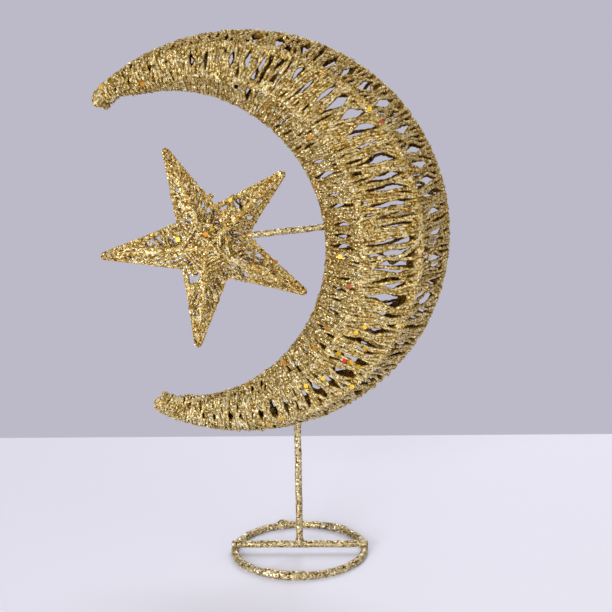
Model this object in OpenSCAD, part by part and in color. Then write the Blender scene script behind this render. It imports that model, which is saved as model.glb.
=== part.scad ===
// Tabletop crescent and star ornament: a welded wire frame, wound with thread and coated in glitter.
// Frame: origin at the middle of the base ring on the table, +Z up, the front of the crescent faces -Y.

/* [Base] */
// Radius of the base ring, to the middle of its wire
base_ring_r = 40; // [36:1:50]
// Thickness of the coated base wire
base_wire_d = 4.2; // [3.6:0.1:5]
// Depth of the flat pressed into the coat where the ring rests on the table
rest_flat_depth = 0.25; // [0.15:0.05:0.4]
// Thickness of the crossbar that lies across the ring
crossbar_d = 3.9; // [3.4:0.1:4.6]
// Depth to which the crossbar's ends are welded down into the ring
crossbar_sink = 0.85; // [0.5:0.05:1.2]
// Thickness of the upright stem
stem_d = 3.8; // [3.2:0.1:4.6]

/* [Crescent] */
// Height of the crescent's middle above the table
crescent_z = 193.4; // [188:0.2:206]
// Place of the crescent's middle to the side of the stem
crescent_x = -50.6; // [-58:0.2:-44]
// Turn of the crescent's axis above the level, in degrees
crescent_turn = 8.9; // [0:0.1:16]
// Radius of the outer rim wire, to its middle
outer_rim_r = 115; // [111:0.5:122]
// Radius of the inner rim wire, to its middle
inner_rim_r = 95.6; // [92:0.2:99]
// Distance between the centres of the two rims
rim_offset = 48; // [44:0.5:52]
// Depth of the crescent between its front and back rails
crescent_depth = 48; // [36:1:60]
// Width of the face between the outer rim and the outer rails, at the crescent's middle
outer_rail_inset = 16.4; // [12:0.2:22]
// Width of the face between the inner rim and the inner rails, at the crescent's middle
inner_rail_inset = 19.8; // [14:0.2:25]
// Thickness of the rim and rail wires
crescent_wire_d = 2.8; // [2.2:0.1:3.2]
// Thickness of the rib wires
rib_wire_d = 2; // [1.6:0.1:2.6]
// Thickness of the weld beads at the corners of the ribs
rib_bead_d = 3; // [2.7:0.1:3.6]
// Length of the horns past the ends of the inner rim, along the outer rim
horn_length = 11.6; // [10:0.2:14]
// Thickness of the beads that blunt the horns
horn_cap_d = 9.4; // [9:0.1:10.4]
// Thickness of the sleeves behind those beads
horn_sleeve_d = 8; // [6.6:0.1:8.6]
// Length of the sleeves along the outer rim
horn_cap_length = 8; // [5:0.5:9]

/* [Star] */
// Height of the star's middle above the table
star_z = 193.1; // [188:0.1:198]
// Distance of the star's middle from the closed side of the inner rim
star_inset = 70.8; // [67.4:0.2:77]
// Distance of the star's points from its middle
star_point_r = 61; // [56:0.5:66]
// Distance of the star's valleys from its middle
star_valley_r = 21; // [19:0.5:24]
// Depth of the star between its front and back peaks
star_depth = 36; // [28:1:44]
// Thickness of the star's wires
star_wire_d = 2.2; // [1.8:0.1:2.6]
// Thickness of the arm that holds the star
star_arm_d = 3.8; // [3:0.1:4.4]

/* [Thread] */
// Thickness of the thread wound on the crescent
thread_d = 1.6; // [1.2:0.1:1.9]
// Thickness of the thread wound on the star
star_thread_d = 1.4; // [1:0.1:1.6]
// Whole loops of thread between the stem and the star's arm
arm_loop_count = 7; // [5:1:7]

/* [Welds] */
// Clearance left in a welded seat
weld_gap = 0.15; // [0.1:0.05:0.25]
// Clearance between a wire and the thread wound on it
thread_gap = 0.4; // [0.3:0.05:0.6]
// Thickness of the weld bead at the foot of the stem
foot_weld_d = 6; // [5:0.1:7.5]
// Thickness of the weld bead at the head of the stem
head_weld_d = 5.6; // [5:0.1:7]
// Thickness of the bead that closes the base ring
ring_weld_d = 5.4; // [5:0.1:6.5]

/* [Hidden] */
$fn = 64;

// The base: the ring's height leaves its flat on the table, and the crossbar lies on the ring.
base_wire_r = base_wire_d / 2;
ring_z = base_wire_r - rest_flat_depth;
crossbar_z = ring_z + base_wire_r + crossbar_d / 2 - crossbar_sink;
// Stretches where the ring's coat is lapped: start and end turn in degrees, and extra thickness share.
ring_laps = [[-118, -78], [48, 66]];
lap_share = 1.14;
ring_weld_turn = 108;

// The crescent is worked out from the middle between the centres of its two rims.
full_turn = 360;
half_offset = rim_offset / 2;
wire_r = crescent_wire_d / 2;
bundle_step = crescent_wire_d + weld_gap;

// The inner rim ends where it lies against the inside of the outer rim, and the outer rim runs on past it.
inner_rim_end_turn = acos(
    (inner_rim_r ^ 2 + rim_offset ^ 2 - (outer_rim_r - bundle_step) ^ 2)
    / (2 * inner_rim_r * rim_offset));
meet_x = inner_rim_r * cos(inner_rim_end_turn) - half_offset;
meet_z = inner_rim_r * sin(inner_rim_end_turn);
meet_turn = atan2(meet_z, meet_x);
outer_rim_end_turn = atan2(meet_z, meet_x - half_offset) + horn_length / outer_rim_r * 180 / PI;

// At the horns the wires lie side by side, with the rails tucked this far round the rims, in degrees.
tuck_turn = 20;
rail_end_inset = bundle_step * sin(tuck_turn);
rail_end_y = bundle_step * cos(tuck_turn);
rail_mid_y = crescent_depth / 2;
// The rails end this far before the rims meet, in degrees, and the ribs stand at shares of that turn.
rail_short_turn = 8.6;
rail_end_turn = meet_turn - rail_short_turn;
rib_shares = [-0.784, -0.392, 0, 0.392, 0.784];

function outer_reach(a) = half_offset * cos(a) + sqrt(outer_rim_r ^ 2 - (half_offset * sin(a)) ^ 2);
function inner_reach(a) = sqrt(inner_rim_r ^ 2 - (half_offset * sin(a)) ^ 2) - half_offset * cos(a);

// A rail is a flat arc that leans out from the rims: its end's reach and its middle's reach.
outer_rail = [outer_reach(rail_end_turn) - rail_end_inset, outer_reach(0) - outer_rail_inset];
inner_rail = [inner_reach(rail_end_turn) + rail_end_inset, inner_reach(0) + inner_rail_inset];

function rail_end_x(rail) = rail[0] * cos(rail_end_turn);
function rail_end_z(rail) = rail[0] * sin(rail_end_turn);
function rail_span(rail) = [rail[1] - rail_end_x(rail), rail_mid_y - rail_end_y];
function rail_lean(rail) = atan2(rail_span(rail)[1], rail_span(rail)[0]);
function rail_rise(rail) = norm(rail_span(rail));
function rail_r(rail) = (rail_rise(rail) ^ 2 + rail_end_z(rail) ^ 2) / (2 * rail_rise(rail));
function rail_half_turn(rail) = atan2(rail_end_z(rail), rail_r(rail) - rail_rise(rail));

// Where a rail crosses the section at turn a: its reach from the crescent's middle, and its depth.
function rail_at(rail, a) =
    let (
        r = rail_r(rail),
        lean = rail_lean(rail),
        centre = rail_rise(rail) - r,
        across = r * cos(a),
        down = -r * cos(lean) * sin(a),
        shift = (rail_end_x(rail) + centre * cos(lean)) * sin(a),
        turn = asin(shift / norm([across, down])) - atan2(down, across),
        out = centre + r * cos(turn)
    )
    [norm([rail_end_x(rail) + out * cos(lean), r * sin(turn)]), rail_end_y + out * sin(lean)];

// The six wires in the section at turn a, from the outer rim round the front and back again.
function section_wires(a) =
    let (outer = rail_at(outer_rail, a), inner = rail_at(inner_rail, a))
    [
        [outer_reach(a), 0], [outer[0], -outer[1]], [inner[0], -inner[1]],
        [inner_reach(a), 0], [inner[0], inner[1]], [outer[0], outer[1]]
    ];

function in_crescent(a, p) = [p[0] * cos(a), p[1], p[0] * sin(a)];

// The stem stands under the outer rim, and the arm reaches from the star to the inner rim.
outer_rim_x = crescent_x + half_offset * cos(crescent_turn);
outer_rim_z = crescent_z + half_offset * sin(crescent_turn);
inner_rim_x = crescent_x - half_offset * cos(crescent_turn);
inner_rim_z = crescent_z - half_offset * sin(crescent_turn);
stem_head_z = outer_rim_z - sqrt(outer_rim_r ^ 2 - outer_rim_x ^ 2);
stem_turn = atan2(stem_head_z - crescent_z, -crescent_x) - crescent_turn;
// Turn of the arm's end about the inner rim's centre, below the crescent's axis, in degrees.
arm_end_turn = -1.5;
arm_end = [
    inner_rim_x + inner_rim_r * cos(crescent_turn + arm_end_turn),
    0,
    inner_rim_z + inner_rim_r * sin(crescent_turn + arm_end_turn)
];
arm_turn = atan2(arm_end[2] - crescent_z, arm_end[0] - crescent_x) - crescent_turn;

star_x = inner_rim_x + inner_rim_r - star_inset;

// The star's points and valleys are bent by hand, so they differ a little from the regular star.
star_turn = 43.3;
point_step_turn = 72;
reach_shares = [0.965, 0.97, 1.045, 1.01, 1.02];
point_turns = [-0.6, -1.2, -1, 2.2, 0.3];
valley_turns = [4, 2, -4, -1, 0];
star_point_count = 5;
peak = [0, -star_depth / 2, 0];

function polar(r, a) = [r * cos(a), 0, r * sin(a)];
function point_turn(k) = star_turn + point_step_turn * k + point_turns[k % star_point_count];
function star_point(k) = polar(star_point_r * reach_shares[k % star_point_count], point_turn(k));
function star_valley(k) =
    polar(star_valley_r, star_turn + point_step_turn * (k - 1 / 2) + valley_turns[k % star_point_count]);
function unit(v) = v / norm(v);

// Wires that meet in a bead end this share of their thickness short of its middle.
short_share = 0.45;

// The outline's legs end side by side in a bead at each point, and have weld beads in the valleys.
leg_step_share = 0.57;
leg_step = star_wire_d * leg_step_share;
point_bead_share = 1.8;
point_bead_d = star_wire_d * point_bead_share;
valley_bead_share = 1.45;
valley_bead_d = star_wire_d * valley_bead_share;
closing_bead_share = 1.7;
closing_bead_d = star_wire_d * closing_bead_share;
peak_bead_share = 2;
peak_short_share = 0.8;
peak_bead_d = star_wire_d * peak_bead_share;

// Where a leg ends beside the middle of a point's bead: side is 1 for the leg to the valley after it.
function leg_end(k, side) =
    let (leg = unit((side > 0 ? star_valley(k + 1) : star_valley(k)) - star_point(k)))
    star_point(k) + side * leg_step * [leg[2], 0, -leg[0]];

// The thread: its rings follow each wire in turn, held off it by the thread gap.
tube_side_count = 6;
rim_ring_count = 5;
rail_ring_count = 3;
corner_progress_share = 0.04;
wound_short_turn = 1.5;
wound_turn = rail_end_turn - wound_short_turn;
loop_pitch = (arm_turn - stem_turn) / (arm_loop_count + 1 / 2);
first_loop = ceil((-wound_turn - stem_turn) / loop_pitch - 1 / 2);
last_loop = floor((wound_turn - stem_turn) / loop_pitch - 1 / 2);
first_pass = stem_turn + loop_pitch * (first_loop + 1 / 2);
loop_count = last_loop - first_loop + 1;
wound_r = wire_r + thread_gap + thread_d / 2;

star_wound_r = star_wire_d / 2 + thread_gap + star_thread_d / 2;
star_loop_count = 2;
star_wound_start_share = 0.48;
star_wound_end_share = 0.78;

// A rod between two points.
module rod(from, to, d) {
    along = to - from;
    translate(from)
        rotate([0, acos(along[2] / norm(along)), atan2(along[1], along[0])])
            cylinder(h = norm(along), d = d);
}

// A rod between two beads, which ends a little short of their middles so that it clears its neighbours.
module strut(from, to, d, short) {
    along = unit(to - from);
    rod(from + short * along, to - short * along, d);
}

// A round wire bent to an arc in the XZ plane, between two turns about its centre.
module bent_wire(r, d, start, end) {
    rotate([90, 0, 0])
        rotate([0, 0, start])
            rotate_extrude(angle = end - start, $fn = 180)
                translate([r, 0])
                    circle(d = d, $fn = 32);
}

module in_crescent_place() {
    translate([crescent_x, 0, crescent_z])
        rotate([0, -crescent_turn, 0])
            children();
}

module in_star_place() {
    translate([star_x, 0, star_z])
        children();
}

module outer_rim_wire(d, end) {
    in_crescent_place()
        translate([half_offset, 0, 0])
            bent_wire(outer_rim_r, d, -end, end);
}

module inner_rim_wire(d) {
    in_crescent_place()
        translate([-half_offset, 0, 0])
            bent_wire(inner_rim_r, d, -inner_rim_end_turn, inner_rim_end_turn);
}

module rail_wire(rail) {
    in_crescent_place()
        translate([rail_end_x(rail), -rail_end_y, 0])
            rotate([0, 0, -rail_lean(rail)])
                translate([rail_rise(rail) - rail_r(rail), 0, 0])
                    bent_wire(rail_r(rail), crescent_wire_d, -rail_half_turn(rail), rail_half_turn(rail));
}

// A rib is a hexagon of wire welded inside the six wires of its section.
module rib(a) {
    wires = section_wires(a);
    count = len(wires);
    inset = wire_r + weld_gap + rib_bead_d / 2;
    inward = [
        for (k = [0:count - 1])
            let (
                back = unit(wires[(k + count - 1) % count] - wires[k]),
                ahead = unit(wires[(k + 1) % count] - wires[k])
            )
            unit(back + ahead)
    ];
    corners = [for (k = [0:count - 1]) let (place = wires[k] + inset * inward[k]) [place[0], place[1], 0]];
    color("darkgoldenrod")
        in_crescent_place()
            rotate([0, -a, 0])
                for (k = [0:count - 1]) {
                    strut(corners[k], corners[(k + 1) % count], rib_wire_d, rib_wire_d * short_share);
                    translate(corners[k])
                        rotate([0, 0, atan2(-inward[k][1], -inward[k][0])])
                            sphere(d = rib_bead_d);
                }
}

// A blunt cap on the end of the outer rim: a sleeve and a bead, with a socket for the wire.
module horn_cap(side) {
    cap_turn = horn_cap_length / outer_rim_r * 180 / PI;
    socket_d = crescent_wire_d + 2 * weld_gap;
    socket_turn = weld_gap / outer_rim_r * 180 / PI;
    start = outer_rim_end_turn - cap_turn;
    color("gold")
        difference() {
            in_crescent_place()
                translate([half_offset, 0, 0])
                    mirror([0, 0, side < 0 ? 1 : 0]) {
                        bent_wire(outer_rim_r, horn_sleeve_d, start, outer_rim_end_turn);
                        translate(polar(outer_rim_r, outer_rim_end_turn))
                            sphere(d = horn_cap_d);
                    }
            outer_rim_wire(socket_d, outer_rim_end_turn + socket_turn);
        }
}

// The outward turn of side k of a section, and the rings of thread that wrap each of its wires.
function side_turn(wires, k) =
    let (along = wires[(k + 1) % len(wires)] - wires[k])
    atan2(along[0], -along[1]);
function round_wire(wires, k, r, from, to, share) =
    let (turn = from - ((from - to + full_turn) % full_turn) * share)
    wires[k] + r * [cos(turn), sin(turn)];
function tangent_turn(wires, from, to, r) = asin(r / norm(wires[to] - wires[from]));

// One entry for each ring of a loop: the wire it wraps, its share of that bend, the rings' progress.
// A share of two stands for the ring halfway along the straight run after that wire.
function bend_entries(k, rings, progress) =
    [for (j = [0:rings - 1]) [k, j / (rings - 1), progress + (j / (rings - 1) - 1 / 2) * corner_progress_share]];
crescent_entries = concat(
    bend_entries(5, rail_ring_count, -1 / 6), bend_entries(0, rim_ring_count, 0), bend_entries(1, rail_ring_count, 1 / 6),
    [[1, 2, 1 / 4]],
    bend_entries(2, rail_ring_count, 1 / 3), bend_entries(3, rim_ring_count, 1 / 2), bend_entries(4, rail_ring_count, 2 / 3),
    [[4, 2, 3 / 4]]
);
closing_ring_count = 2 * rail_ring_count + rim_ring_count;
star_entries = [for (k = [0:3]) each concat(bend_entries(k, rim_ring_count, k / 4), [[k, 2, k / 4 + 1 / 8]])];

// The place of ring i of a winding in its section: a first and a last bend turn towards their seats.
function ring_place(wires, entry, r, is_first, is_last) =
    let (
        count = len(wires),
        k = entry[0],
        before = (k + count - 1) % count,
        after = (k + 1) % count,
        from = side_turn(wires, before) + (is_first ? tangent_turn(wires, before, k, r) : 0),
        to = side_turn(wires, k) - (is_last ? tangent_turn(wires, after, k, r) : 0)
    )
    entry[1] == 2
        ? (wires[k] + wires[after]) / 2 + r * [cos(side_turn(wires, k)), sin(side_turn(wires, k))]
        : round_wire(wires, k, r, from, to, entry[1]);

// The straight end of a winding: two places, from its seat on a wire towards the first bend.
function seat_places(wire, bend, wire_radius, d) =
    let (along = unit(bend - wire), start = wire + (wire_radius + weld_gap) * along)
    [start, start + d * along];

// A round thread through a list of points, as one unbroken tube. Each point has a side direction.
module thread(points, sides, d) {
    count = len(points);
    tangents = [for (i = [0:count - 1]) unit(points[min(i + 1, count - 1)] - points[max(i - 1, 0)])];
    ring_points = [
        for (i = [0:count - 1])
            let (
                side = unit(sides[i] - (sides[i] * tangents[i]) * tangents[i]),
                up = cross(tangents[i], side)
            )
            for (j = [0:tube_side_count - 1])
                points[i] + d / 2 * (cos(360 / tube_side_count * j) * up + sin(360 / tube_side_count * j) * side)
    ];
    walls = [
        for (i = [0:count - 2], j = [0:tube_side_count - 1])
            let (
                a = i * tube_side_count + j,
                b = i * tube_side_count + (j + 1) % tube_side_count
            )
            each [[a, b, b + tube_side_count], [a, b + tube_side_count, a + tube_side_count]]
    ];
    last_ring = (count - 1) * tube_side_count;
    caps = [
        for (j = [1:tube_side_count - 2])
            each [[0, j + 1, j], [last_ring, last_ring + j, last_ring + j + 1]]
    ];
    polyhedron(points = ring_points, faces = concat(walls, caps), convexity = 10);
}

// The least gap of a thread to itself, measured between rings that aren't neighbours.
function least_gap(points, d, skip) =
    min([
        for (i = [0:len(points) - 1 - skip])
            min([for (j = [i + skip:len(points) - 1]) norm(points[i] - points[j])])
    ]) - d;

// Base wire bent to a ring, with its lapped stretches and the bead that closes it.
module base_ring() {
    color("goldenrod")
        difference() {
            union() {
                translate([0, 0, ring_z]) {
                    rotate_extrude($fn = 180)
                        translate([base_ring_r, 0])
                            circle(r = base_wire_r, $fn = 32);
                    for (lap = ring_laps)
                        rotate([0, 0, lap[0]])
                            rotate_extrude(angle = lap[1] - lap[0], $fn = 180)
                                translate([base_ring_r, 0])
                                    circle(r = base_wire_r * lap_share, $fn = 32);
                }
                rotate([0, 0, ring_weld_turn])
                    translate([base_ring_r, 0, ring_weld_d / 2])
                        sphere(d = ring_weld_d);
            }
            translate([-2 * base_ring_r, -2 * base_ring_r, -2 * base_wire_d])
                cube([4 * base_ring_r, 4 * base_ring_r, 2 * base_wire_d]);
        }
}

// Straight bar welded across the ring, saddled over its wire at both ends.
module base_crossbar() {
    half_length = base_ring_r + base_wire_r;
    color("goldenrod")
        difference() {
            translate([-half_length, 0, crossbar_z])
                rotate([0, 90, 0])
                    cylinder(h = 2 * half_length, d = crossbar_d);
            translate([0, 0, ring_z])
                rotate_extrude($fn = 180)
                    translate([base_ring_r, 0])
                        circle(r = base_wire_r + weld_gap, $fn = 32);
        }
}

// Upright rod between the crossbar and the outer rim, with a weld bead at its foot and its head.
module stem() {
    foot_z = crossbar_z + crossbar_d / 2;
    head_z = stem_head_z - wire_r;
    bar_seat_d = crossbar_d + 2 * weld_gap;
    color("goldenrod")
        difference() {
            union() {
                translate([0, 0, crossbar_z])
                    cylinder(h = stem_head_z - crossbar_z, d = stem_d);
                translate([0, 0, foot_z])
                    sphere(d = foot_weld_d);
                translate([0, 0, head_z])
                    sphere(d = head_weld_d);
            }
            translate([-foot_weld_d, 0, crossbar_z])
                rotate([0, 90, 0])
                    cylinder(h = 2 * foot_weld_d, d = bar_seat_d);
            translate([-foot_weld_d, -foot_weld_d, crossbar_z - foot_weld_d])
                cube([2 * foot_weld_d, 2 * foot_weld_d, foot_weld_d]);
            outer_rim_wire(crescent_wire_d + 2 * weld_gap, outer_rim_end_turn);
            translate([-head_weld_d, -head_weld_d, stem_head_z])
                cube([2 * head_weld_d, 2 * head_weld_d, head_weld_d]);
        }
}

module outer_rim() {
    color("gold")
        outer_rim_wire(crescent_wire_d, outer_rim_end_turn);
}

module inner_rim() {
    color("gold")
        inner_rim_wire(crescent_wire_d);
}

module front_outer_rail() {
    color("gold")
        rail_wire(outer_rail);
}

module front_inner_rail() {
    color("gold")
        rail_wire(inner_rail);
}

module back_outer_rail() {
    color("gold")
        mirror([0, 1, 0])
            rail_wire(outer_rail);
}

module back_inner_rail() {
    color("gold")
        mirror([0, 1, 0])
            rail_wire(inner_rail);
}

// Thread wound round the six wires of the crescent from horn to horn, as one unbroken tube.
module crescent_winding() {
    per_loop = len(crescent_entries);
    ring_count = per_loop * (loop_count - 1) + closing_ring_count;
    turns = [
        for (i = [0:ring_count - 1])
            first_pass + loop_pitch * (floor(i / per_loop) + crescent_entries[i % per_loop][2])
    ];
    places = [
        for (i = [0:ring_count - 1])
            ring_place(section_wires(turns[i]), crescent_entries[i % per_loop], wound_r,
                i < rail_ring_count, i >= ring_count - rail_ring_count)
    ];
    first = turns[0];
    last = turns[ring_count - 1];
    start_seat = seat_places(section_wires(first)[4], places[0], wire_r, thread_d);
    end_seat = seat_places(section_wires(last)[2], places[ring_count - 1], wire_r, thread_d);
    all_turns = concat([first, first], turns, [last, last]);
    all_places = concat(start_seat, places, [end_seat[1], end_seat[0]]);
    points = [for (i = [0:len(all_turns) - 1]) in_crescent(all_turns[i], all_places[i])];
    sides = [for (a = all_turns) [-sin(a), 0, cos(a)]];
    echo(crescent_loops = loop_count, least_gap_mm = least_gap(points, thread_d, rim_ring_count + 1));
    color("khaki")
        in_crescent_place()
            thread(points, sides, thread_d);
}

// A leg of the outline, from the bead in a valley to the bead at a point.
module leg(k, side) {
    valley = side > 0 ? star_valley(k + 1) : star_valley(k);
    along = unit(leg_end(k, side) - valley);
    rod(valley + star_wire_d * short_share * along, leg_end(k, side), star_wire_d);
}

// Star wire bent to the outline of the points and valleys, closed by a bead in the top valley.
module star_outline() {
    color("gold")
        in_star_place() {
            for (k = [0:star_point_count - 1]) {
                for (side = [-1, 1])
                    leg(k, side);
                translate(star_point(k))
                    sphere(d = point_bead_d);
                translate(star_valley(k))
                    sphere(d = k == 1 ? closing_bead_d : valley_bead_d);
            }
        }
}

// How far short of a point its ridge wire ends, where it lies against the ridge wire behind it.
function ridge_cut(k) = (star_wire_d + weld_gap) / 2 * norm(peak - star_point(k)) / norm(peak);

module ridges() {
    translate(peak)
        sphere(d = peak_bead_d);
    for (k = [0:star_point_count - 1]) {
        along = unit(star_point(k) - peak);
        rod(peak + star_wire_d * peak_short_share * along, star_point(k) - ridge_cut(k) * along, star_wire_d);
    }
}

module star_front_ridges() {
    color("gold")
        in_star_place()
            ridges();
}

module star_back_ridges() {
    color("gold")
        in_star_place()
            mirror([0, 1, 0])
                ridges();
}

// The four wires of point k in the section at a distance from the star's middle: across, and depth.
function star_section(k, distance) =
    let (
        along = unit(star_point(k)),
        across = [along[2], 0, -along[0]],
        right = star_valley(k),
        left = star_valley(k + 1),
        right_leg = leg_end(k, -1) - right,
        left_leg = leg_end(k, 1) - left,
        right_share = (distance - right * along) / (right_leg * along),
        left_share = (distance - left * along) / (left_leg * along),
        ridge_depth = peak[1] * (1 - distance / norm(star_point(k)))
    )
    [
        [(right + right_share * right_leg) * across, 0], [0, ridge_depth],
        [(left + left_share * left_leg) * across, 0], [0, -ridge_depth]
    ];

// Thread wound round one point of the star.
module point_winding(k) {
    along = unit(star_point(k));
    across = [along[2], 0, -along[0]];
    reach = norm(star_point(k));
    per_loop = len(star_entries);
    ring_count = per_loop * star_loop_count - 1;
    wound_start = reach * star_wound_start_share;
    pitch = reach * (star_wound_end_share - star_wound_start_share) / star_loop_count;
    distances = [
        for (i = [0:ring_count - 1])
            wound_start + pitch * (floor(i / per_loop) + star_entries[i % per_loop][2])
    ];
    places = [
        for (i = [0:ring_count - 1])
            ring_place(star_section(k, distances[i]), star_entries[i % per_loop], star_wound_r,
                i < rim_ring_count, i >= ring_count - rim_ring_count)
    ];
    first = distances[0];
    last = distances[ring_count - 1];
    start_seat = seat_places(star_section(k, first)[3], places[0], star_wire_d / 2, star_thread_d);
    end_seat = seat_places(star_section(k, last)[0], places[ring_count - 1], star_wire_d / 2, star_thread_d);
    all_distances = concat([first, first], distances, [last, last]);
    all_places = concat(start_seat, places, [end_seat[1], end_seat[0]]);
    points = [
        for (i = [0:len(all_places) - 1])
            all_distances[i] * along + all_places[i][0] * across + [0, all_places[i][1], 0]
    ];
    echo(star_point = k, loops = star_loop_count, least_gap_mm = least_gap(points, star_thread_d, rim_ring_count + 3));
    thread(points, [for (p = points) along], star_thread_d);
}

module star_winding() {
    color("khaki")
        in_star_place()
            for (k = [0:star_point_count - 1])
                point_winding(k);
}

// Arm from the star's right valley to the inner rim: its pointed end fills the valley between the
// outline's legs, and its other end is saddled over the rim.
module star_arm() {
    valley = [star_x, 0, star_z] + star_valley(0);
    along = unit(arm_end - valley);
    half_valley = min([
        for (leg = [leg_end(0, -1) - star_valley(0), leg_end(star_point_count - 1, 1) - star_valley(0)])
            acos(unit(leg) * along)
    ]);
    apex = (star_wire_d / 2 + weld_gap) / sin(half_valley);
    start = max(apex, valley_bead_d / 2) + weld_gap;
    full = apex + star_arm_d / 2 / tan(half_valley);
    color("goldenrod")
        difference() {
            translate(valley)
                rotate([0, 90 - atan2(along[2], along[0]), 0]) {
                    translate([0, 0, start])
                        cylinder(h = full - start, r1 = (start - apex) * tan(half_valley), d2 = star_arm_d);
                    translate([0, 0, full])
                        cylinder(h = norm(arm_end - valley) - full, d = star_arm_d);
                }
            inner_rim_wire(crescent_wire_d + 2 * weld_gap);
        }
}

base_ring();
base_crossbar();
stem();
outer_rim();
inner_rim();
front_outer_rail();
front_inner_rail();
back_outer_rail();
back_inner_rail();
rib(rib_shares[0] * rail_end_turn);  // rib_lower_horn
rib(rib_shares[1] * rail_end_turn);  // rib_lower
rib(rib_shares[2] * rail_end_turn);  // rib_middle
rib(rib_shares[3] * rail_end_turn);  // rib_upper
rib(rib_shares[4] * rail_end_turn);  // rib_upper_horn
horn_cap(1);  // upper_horn_cap
horn_cap(-1);  // lower_horn_cap
crescent_winding();
star_outline();
star_front_ridges();
star_back_ridges();
star_winding();
star_arm();
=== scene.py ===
import math
import random

import bpy
from mathutils import Matrix, Vector
from mathutils.bvhtree import BVHTree


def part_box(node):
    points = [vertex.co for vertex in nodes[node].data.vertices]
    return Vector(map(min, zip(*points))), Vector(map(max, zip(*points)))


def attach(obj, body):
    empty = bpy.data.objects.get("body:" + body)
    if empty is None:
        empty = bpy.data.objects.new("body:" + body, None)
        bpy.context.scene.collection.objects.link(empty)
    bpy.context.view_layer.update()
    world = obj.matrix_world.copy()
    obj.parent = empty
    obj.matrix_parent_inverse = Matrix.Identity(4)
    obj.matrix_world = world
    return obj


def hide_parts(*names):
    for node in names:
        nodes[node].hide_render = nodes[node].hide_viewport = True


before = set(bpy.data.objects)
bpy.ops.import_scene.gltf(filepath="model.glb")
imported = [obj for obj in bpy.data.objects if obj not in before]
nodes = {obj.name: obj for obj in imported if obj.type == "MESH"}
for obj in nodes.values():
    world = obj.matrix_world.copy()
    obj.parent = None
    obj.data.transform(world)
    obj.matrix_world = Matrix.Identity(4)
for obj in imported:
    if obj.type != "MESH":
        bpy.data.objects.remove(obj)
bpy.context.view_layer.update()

scene = bpy.context.scene
# Sizes are in millimetres until MM brings them to metres, and turns are in degrees.
MM = 0.001


# The view: a long lens a little above the ornament, looking slightly down on it. The picture is
# 612 pixels wide and high, the lens is given in those pixels, and the three turns in radians.
PICTURE_WIDTH = 612
SENSOR_WIDTH = 36.0
LENS_PIXELS = 1112.8
EYE = Vector((28.72, -648.44, 277.57)) * MM
VIEW_YAW = -0.0345
VIEW_DOWN = 0.1870
VIEW_ROLL = -0.0169

view_forward = Vector((
    math.sin(VIEW_YAW) * math.cos(VIEW_DOWN),
    math.cos(VIEW_YAW) * math.cos(VIEW_DOWN),
    -math.sin(VIEW_DOWN),
))
level_right = Vector((math.cos(VIEW_YAW), -math.sin(VIEW_YAW), 0))
level_up = level_right.cross(view_forward)
view_right = math.cos(VIEW_ROLL) * level_right + math.sin(VIEW_ROLL) * level_up
view_up = math.cos(VIEW_ROLL) * level_up - math.sin(VIEW_ROLL) * level_right

camera = bpy.data.objects.new("camera", bpy.data.cameras.new("camera"))
scene.collection.objects.link(camera)
camera.data.sensor_width = SENSOR_WIDTH
camera.data.lens = LENS_PIXELS / PICTURE_WIDTH * SENSOR_WIDTH
camera.data.clip_start = 0.02
camera.data.clip_end = 60
camera.matrix_world = Matrix((
    (view_right.x, view_up.x, -view_forward.x, EYE.x),
    (view_right.y, view_up.y, -view_forward.y, EYE.y),
    (view_right.z, view_up.z, -view_forward.z, EYE.z),
    (0, 0, 0, 1),
))
scene.camera = camera
scene.view_settings.view_transform = "Standard"


# Base ring: iron rod bent to a ring and wrapped in a strip of glitter film, which laps over
# itself in places. The ends of the rod meet in a weld bead at the back left.
RING_R = 40.0
RING_WIRE_D = 4.2
RING_Z = 1.85
RING_STEPS = 360
RING_LAPS = ((-120, -76), (44, 70))
LAP_START, LAP_FADE = 2, 10
RING_LAP_SHARE = 0.16
RING_BEAD_TURN = 108
RING_BEAD_SPREAD = 3.6
RING_BEAD_SHARE = 0.5
RING_SWELL_LIFT = 0.8
TABLE_CLEARANCE = 0.02
FILM_SHARE = 1.1
FILM_TONES = (
    (0.00, (62, 40, 9)),
    (0.12, (100, 76, 32)),
    (0.28, (153, 132, 86)),
    (0.58, (184, 168, 127)),
    (0.86, (210, 197, 160)),
    (1.00, (246, 238, 212)),
)
# Painted shade: glitter is toned darker where things as near as this hide it, in each pit and
# hollow, and keeps its tone where it is as open as this. Painted light: the thread's glitter is
# toned paler from one height down to another, as if the pale floor lit it from below.
PIT_SHADE_REACH = 60
PIT_SHADE_MIDDLE = 0.8
FLOOR_LIGHT_FROM, FLOOR_LIGHT_TO = 200, 90
GLOW_DEPTH = 3.5


def linear(red, green, blue):
    """A screen colour in the linear values that the shaders take."""
    shares = (channel / 255 for channel in (red, green, blue))
    return [c / 12.92 if c <= 0.04045 else ((c + 0.055) / 1.055) ** 2.4 for c in shares] + [1.0]


def clamp(value, low, high):
    return min(max(value, low), high)


def smooth_step(low, high, value):
    share = clamp((value - low) / (high - low), 0, 1)
    return share * share * (3 - 2 * share)


def steps(first, last, count):
    """Even steps from the first number to the last, with both."""
    return [first + (last - first) * i / count for i in range(count + 1)]


def add(tree, kind, inputs=(), **settings):
    """A node with its settings, whose inputs are values or other nodes' outputs."""
    node = tree.nodes.new(kind)
    for setting, value in settings.items():
        setattr(node, setting, value)
    for socket, value in dict(inputs).items():
        if isinstance(value, bpy.types.NodeSocket):
            tree.links.new(value, node.inputs[socket])
        else:
            node.inputs[socket].default_value = value
    return node


def math_node(tree, operation, *values):
    """The result of one sum, product or other operation."""
    node = add(tree, "ShaderNodeMath", dict(enumerate(values)), operation=operation)
    return node.outputs["Value"]


def vector_node(tree, operation, *values):
    node = add(tree, "ShaderNodeVectorMath", dict(enumerate(values)), operation=operation)
    return node.outputs["Vector"]


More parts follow.
